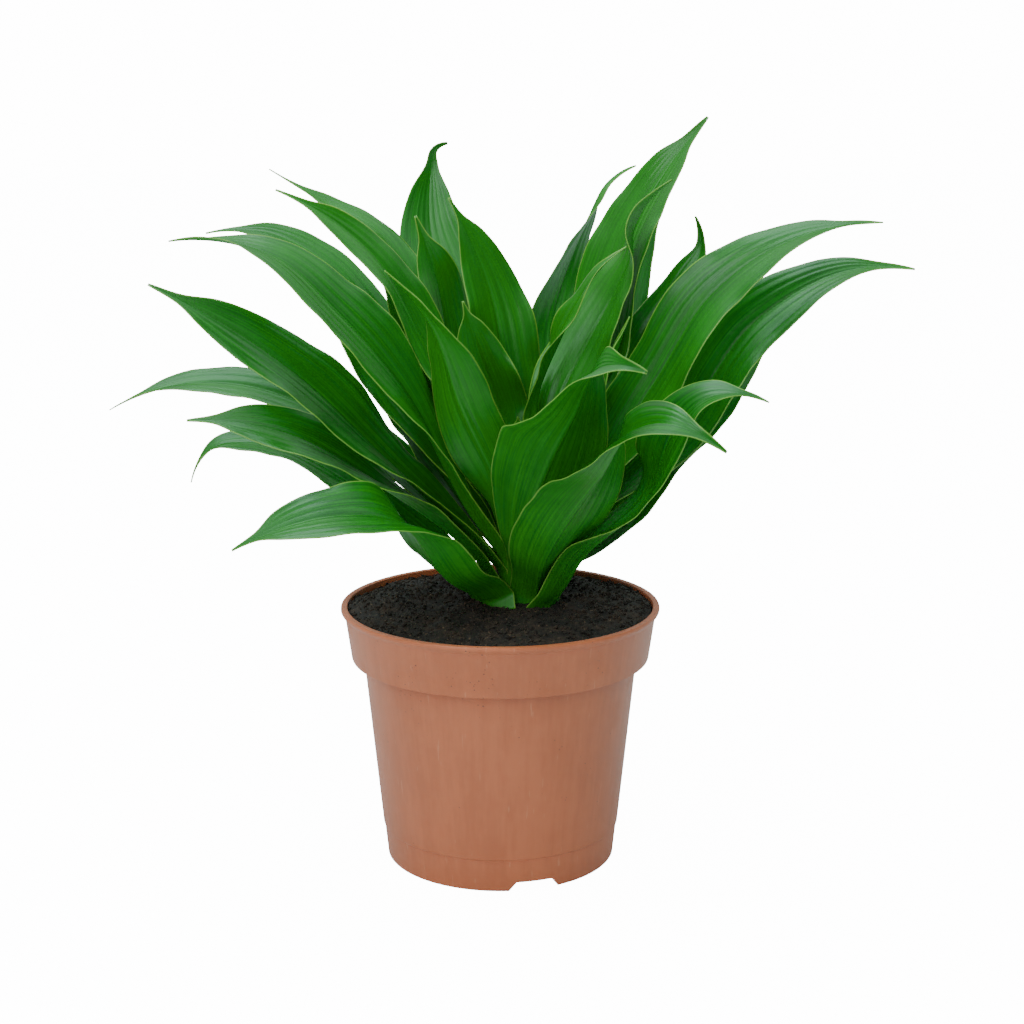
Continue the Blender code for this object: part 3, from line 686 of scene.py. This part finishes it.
def blade(leaf, stations, across, phase):
    """Points, edge distances, breadth and thickness shares, stations by across + 1, from u = 1 to -1."""
    curve, length = midrib(leaf, stations)
    along = np.gradient(curve, axis=0)
    along /= np.linalg.norm(along, axis=1)[:, None]
    azimuth = math.radians(leaf.azimuth)
    side = [np.array([-math.sin(azimuth), math.cos(azimuth), 0])]
    for way in along:
        side.append(unit(side[-1] - way * np.dot(side[-1], way)))
    side = np.array(side[1:])
    up = np.cross(along, side)
    s = np.linspace(0, 1, stations)[:, None]
    roll = np.radians(smooth(s, ((0, 0), (1 / 3, leaf.turn[0]), (2 / 3, leaf.turn[1]), (1, leaf.turn[2]))))
    side, up = side * np.cos(roll) + up * np.sin(roll), up * np.cos(roll) - side * np.sin(roll)
    ease = np.clip(s / FULL_WIDTH_AT, 0, 1)
    ease = leaf.base + (1 - leaf.base) * ease * ease * (3 - 2 * ease)
    half = leaf.width / 2 * smooth(s, HALF_WIDTH) * ease
    fold = np.radians(smooth(s, ((0, 6), (0.1, 20), (0.3, leaf.fold[0]), (1, leaf.fold[1]))))
    clasp = math.degrees(half[0, 0] / foot(leaf)[1])
    curl = np.radians(smooth(s, ((0, clasp), (0.1, 0.6 * clasp), (WRAP_END, FLAT_CURL), (1, TIP_CURL))))
    curl = np.where(np.abs(curl) < 0.001, 0.001, curl)
    u = np.linspace(1, -1, across + 1)[None]
    # The blade's V is rounded over a narrow strip beside the midrib.
    reach = np.abs(u)
    flat = half * (np.sin(fold + curl * reach) - np.sin(fold)) / curl * np.sign(u)
    lift = half * (np.cos(fold) - np.cos(fold + curl * reach)) / curl
    lift = lift + half * np.sin(fold) * 0.06 * np.exp(-(reach / 0.09)**2)
    fade = np.clip(np.sin(np.pi * s), 0, 1)**0.7 * np.clip((s - 0.12) / 0.2, 0, 1)
    wave = np.sin(math.tau * (WAVE_COUNT * s + 0.37 * np.sign(u)))
    ripple = np.sin(math.tau * (length / 17 * s + phase + 0.31 * np.sign(u)))
    ripple = ripple * np.sin(math.tau * (1.7 * s + 2 * phase))
    lift = lift + fade * (WAVE_HEIGHT * wave * reach**2.5 + RIPPLE_HEIGHT * ripple * reach**4)
    # Pleats run along the veins, so they draw together where the blade narrows.
    count = leaf.width / 2 * reach / PLEAT_SPACING
    broad = np.cos(math.tau * count + 0.9 * np.sign(u))
    broad = broad * (0.7 + 0.3 * np.sin(math.tau * (1.3 * s + phase) + 5 * u))
    narrow = np.cos(math.tau * (1.85 * count + phase) + 1.4 * np.sin(9 * u + 3 * s + 7 * phase))
    pleat = (broad + 0.42 * narrow) * half / (leaf.width / 2) * np.clip(s / 0.15, 0, 1)
    lift = lift - PLEAT_HEIGHT * pleat * (1 - reach**8)
    groove = np.exp(-(half * reach / 0.7)**2) * np.clip((1 - s) * 2.5, 0, 1) * np.clip(half / 6, 0, 1)
    lift = lift - MIDRIB_GROOVE * groove
    points = curve[:, None] + side[:, None] * flat[..., None] + up[:, None] * lift[..., None]
    edge = half * (1 - reach)
    rib = np.exp(-(half * reach / (1.6 - 0.8 * s))**2) * np.clip(1.1 - s, 0, 1)
    thick = EDGE_SHARE + (BLADE_SHARE - EDGE_SHARE) * np.clip(edge / 2.0, 0, 1) + (1 - BLADE_SHARE) * rib
    breadth = np.broadcast_to((half / (leaf.width / 2))**2, edge.shape)
    return points, edge, breadth, thick


def sheath(leaf, first_row):
    """Rows below the blade, lowest first: they run in to clasp the stem, or straight down into the soil."""
    centre = np.array([STEM_X, STEM_Y])
    offset = first_row[:, :2] - centre
    angle = np.arctan2(offset[:, 1], offset[:, 0]) - math.radians(leaf.azimuth)
    angle = (angle + math.pi) % math.tau - math.pi
    radius = np.linalg.norm(offset, axis=1)
    rows = []
    for row in range(SHEATH_ROWS, 0, -1):
        share = row / SHEATH_ROWS
        height = first_row[:, 2] - SHEATH_STEP * row
        target = foot(leaf)[1] - 1 if leaf.root else stem_radius(leaf.height) + 0.35
        out = radius + (target - radius) * share
        turned_to = angle * (1 + 0.25 * share) + math.radians(leaf.azimuth)
        rows.append(np.stack([STEM_X + out * np.cos(turned_to), STEM_Y + out * np.sin(turned_to), height], 1))
    return np.array(rows)


def build_leaf(name, leaf, finishes, phase):
    across = 2 * round(leaf.width / 2 / COLUMN_WIDTH)
    points, *values = blade(leaf, LEAF_STATIONS, across, phase)
    points = np.concatenate([sheath(leaf, points[0]), points])
    edge, breadth, thick = [np.concatenate([np.repeat(value[:1], SHEATH_ROWS, 0), value]) for value in values]
    rows = len(points)
    bm = bmesh.new()
    bm.loops.layers.uv.new("blade")
    bmesh.ops.create_grid(bm, x_segments=across, y_segments=rows - 1, size=1, calc_uvs=True)
    edge_layer = bm.verts.layers.float.new("edge")
    breadth_layer = bm.verts.layers.float.new("breadth")
    youth_layer = bm.verts.layers.float.new("youth")
    weights = bm.verts.layers.deform.new()
    youth = (leaf.height - TAPER_START) / TAPER_LENGTH
    for vert in bm.verts:
        column = round((vert.co.x + 1) / 2 * across)
        row = round((vert.co.y + 1) / 2 * (rows - 1))
        vert.co = points[row, column]
        vert[edge_layer] = edge[row, column]
        vert[breadth_layer] = breadth[row, column]
        vert[youth_layer] = youth
        vert[weights][0] = thick[row, column]
    made = add_piece(name, bm, *finishes, sharp=180)
    made.vertex_groups.new(name="thickness")
    thickness = made.modifiers.new("Thickness", "SOLIDIFY")
    thickness.thickness = BLADE_THICKNESS * MM
    thickness.offset = 0
    thickness.vertex_group = "thickness"
    thickness.thickness_vertex_group = 0.1
    thickness.material_offset = 1
    thickness.material_offset_rim = 1
    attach(made, "root")
    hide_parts(name)
    return made


upper = leaf_finish("leaf upper side", LEAF_DEEP, LEAF_MID, 0.20, 0.22)
under = leaf_finish("leaf underside", UNDER_DEEP, UNDER_MID, 0.34, 0.26)
for leaf_index, (leaf_name, leaf_row) in enumerate(LEAVES.items()):
    build_leaf(leaf_name, leaf_row, (upper, under), leaf_index * 0.37)


# Studio. A pale seamless table under a bright white ceiling, with a dim room on the camera's side and
# a paler wall behind. One large soft light hangs overhead and one stands to the left of the camera.

FLOOR_COLOUR = (0.60, 0.62, 0.64, 1)
FLOOR_SEEN = 14.0
COOL_WHITE = (0.84, 1.0, 0.97, 1)
CEILING_LIGHT = 1.9
WALL_LIGHT = 0.5
ROOM_LIGHT = 0.08
BACKDROP_SEEN = 15.0


def table_finish():
    finish, start = new_finish("pale table")
    place = start.add("TexCoord", out="Object")
    faint = start.noise(place, 6, 2)
    colour = faint.mix((0.56, 0.58, 0.60, 1), FLOOR_COLOUR)
    shader = start.add("BsdfPrincipled", None, {"Base Color": colour, "Roughness": 0.55})
    bright = start.add("Emission", None, {"Color": (1, 1, 1, 1), "Strength": FLOOR_SEEN})
    lifted = start.add("AddShader", None, {0: shader, 1: bright})
    seen = start.add("LightPath", out="Is Camera Ray")
    surface(start, start.add("MixShader", None, {0: seen, 1: shader, 2: lifted}))
    return finish


table_bm = bmesh.new()
bmesh.ops.create_grid(table_bm, x_segments=1, y_segments=1, size=6000)
table = add_piece("table", table_bm, table_finish())

world = bpy.data.worlds.new("studio")
bpy.context.scene.world = world
world.use_nodes = True
world.node_tree.nodes.clear()
sky = Wire(world.node_tree)
seen = sky.add("LightPath", out="Is Camera Ray")
way = sky.add("TexCoord", out="Generated")
way_back = sky.add("SeparateXYZ", None, {0: way}, out="Y")
way_up = sky.add("SeparateXYZ", None, {0: way}, out="Z")
room = sky.add("Background", None, {"Color": COOL_WHITE, "Strength": ROOM_LIGHT})
wall = sky.add("Background", None, {"Color": COOL_WHITE, "Strength": WALL_LIGHT})
ceiling = sky.add("Background", None, {"Color": COOL_WHITE, "Strength": CEILING_LIGHT})
around = sky.add("MixShader", None, {0: way_back.step(-0.1, 0.6), 1: room, 2: wall})
around = sky.add("MixShader", None, {0: way_up.step(0.30, 0.85), 1: around, 2: ceiling})
backdrop = sky.add("Background", None, {"Color": (1, 1, 1, 1), "Strength": BACKDROP_SEEN})
both = sky.add("MixShader", None, {0: seen, 1: around, 2: backdrop})
world_out = world.node_tree.nodes.new("ShaderNodeOutputWorld")
world.node_tree.links.new(both.socket, world_out.inputs["Surface"])


def softbox(name, at, aim, width, height, watts, colour=(1, 1, 1)):
    lamp = bpy.data.lights.new(name, "AREA")
    lamp.shape = "RECTANGLE"
    lamp.size = width
    lamp.size_y = height
    lamp.energy = watts
    lamp.color = colour
    made = bpy.data.objects.new(name, lamp)
    made.location = at
    made.rotation_euler = (Vector(aim) - Vector(at)).to_track_quat("-Z", "Y").to_euler()
    bpy.context.scene.collection.objects.link(made)


softbox("overhead light", (-0.3, -0.1, 1.7), (0, 0, 0.15), 1.1, 1.1, 18, (0.86, 1, 0.97))
softbox("camera side light", (-0.65, -1.35, 0.8), (0, 0, 0.13), 1.1, 0.9, 15, (1, 1, 0.97))
